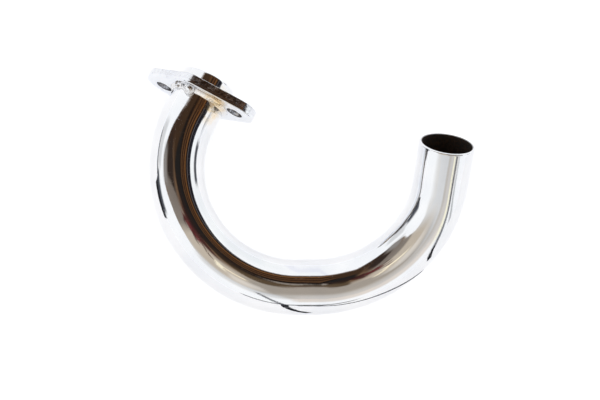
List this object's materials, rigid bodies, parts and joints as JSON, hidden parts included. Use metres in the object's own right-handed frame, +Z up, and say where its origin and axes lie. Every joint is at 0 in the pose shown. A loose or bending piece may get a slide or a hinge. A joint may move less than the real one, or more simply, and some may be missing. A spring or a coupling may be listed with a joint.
{
  "type": "flanged exhaust header pipe",
  "caption": "Chrome-plated steel tube bent twice out of plane, with a welded two-bolt flange near its inlet and a plain open outlet.",
  "frame": {"origin": "middle of the box's underside: the pipe lies on a flat surface on the flange's waist and the lowest part of the bends", "axes": "+Z up from the surface the pipe lies on, +X along its longest extent from the flange side to the outlet side, +Y towards the mouth of the U"},
  "size_m": [0.1604, 0.1256, 0.0657],
  "materials": {
    "tube_chrome": "mirror chrome plate over steel, dark and unplated inside the tube",
    "flange_chrome": "chrome plate over a blanked steel edge",
    "weld_metal": "rippled weld bead, plated over and slightly dulled"
  },
  "bodies": {
    "root": {"header_tube": "tube_chrome", "flange_plate": "flange_chrome", "fillet_weld": "weld_metal", "weld_stop": "weld_metal", "weld_tack": "weld_metal"}
  },
  "joints": []
}
